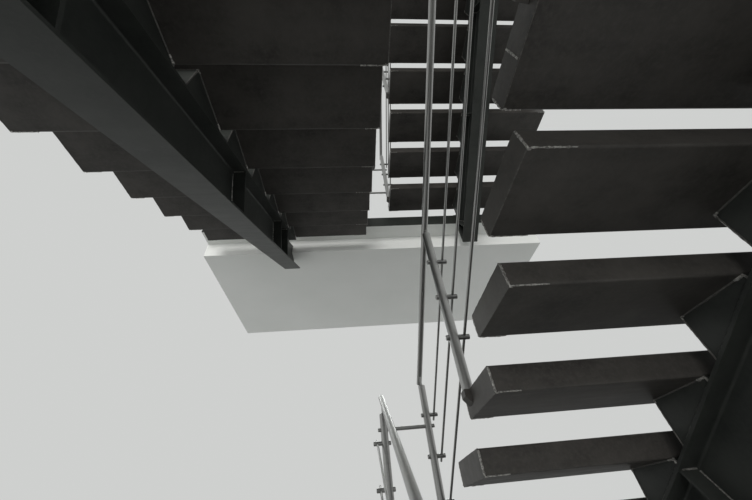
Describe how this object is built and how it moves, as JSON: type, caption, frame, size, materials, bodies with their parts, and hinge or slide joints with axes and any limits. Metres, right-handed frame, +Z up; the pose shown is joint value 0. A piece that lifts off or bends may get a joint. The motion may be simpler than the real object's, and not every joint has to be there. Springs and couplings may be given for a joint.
{
  "type": "fire escape stair",
  "caption": "Two-storey half-turn steel fire escape stair with a centre beam under each flight, closed box treads, rod balustrade and slab half landings.",
  "frame": {"origin": "centre of the underside of the base plate at the foot of the first flight", "axes": "+Y along the first flight, away from its foot; +X across the stair, from the first row of flights to the second; +Z up"},
  "size_m": [3.45, 5.618, 6.389],
  "materials": {
    "dark_steel": "dark grey paint with a slight satin gloss, a little dusty on upper faces",
    "tread_steel": "warm dark grey paint over welded plate, satin, with ground weld beads at the ends",
    "stainless": "satin ground stainless steel with fine circular brushing",
    "white_plaster": "matt white paint on smooth plaster over concrete"
  },
  "bodies": {
    "root": {"base_plate": "dark_steel", "first_flight_beam": "dark_steel", "first_flight_brackets": "dark_steel", "first_flight_treads": "tread_steel", "first_flight_posts": "stainless", "first_flight_handrail": "stainless", "first_flight_rods": "stainless", "second_flight_beam": "dark_steel", "second_flight_brackets": "dark_steel", "second_flight_treads": "tread_steel", "second_flight_posts": "stainless", "second_flight_handrail": "stainless", "second_flight_rods": "stainless", "third_flight_beam": "dark_steel", "third_flight_brackets": "dark_steel", "third_flight_treads": "tread_steel", "third_flight_posts": "stainless", "third_flight_handrail": "stainless", "third_flight_rods": "stainless", "fourth_flight_beam": "dark_steel", "fourth_flight_brackets": "dark_steel", "fourth_flight_treads": "tread_steel", "fourth_flight_posts": "stainless", "fourth_flight_handrail": "stainless", "fourth_flight_rods": "stainless", "first_landing_slab": "white_plaster", "first_landing_edge": "dark_steel", "second_landing_slab": "white_plaster", "second_landing_edge": "dark_steel", "third_landing_slab": "white_plaster", "third_landing_edge": "dark_steel", "top_landing_slab": "white_plaster", "top_landing_edge": "dark_steel", "well_bars": "stainless", "top_guard_posts": "stainless", "top_guard_rail": "stainless", "top_guard_rods": "stainless"}
  },
  "joints": []
}
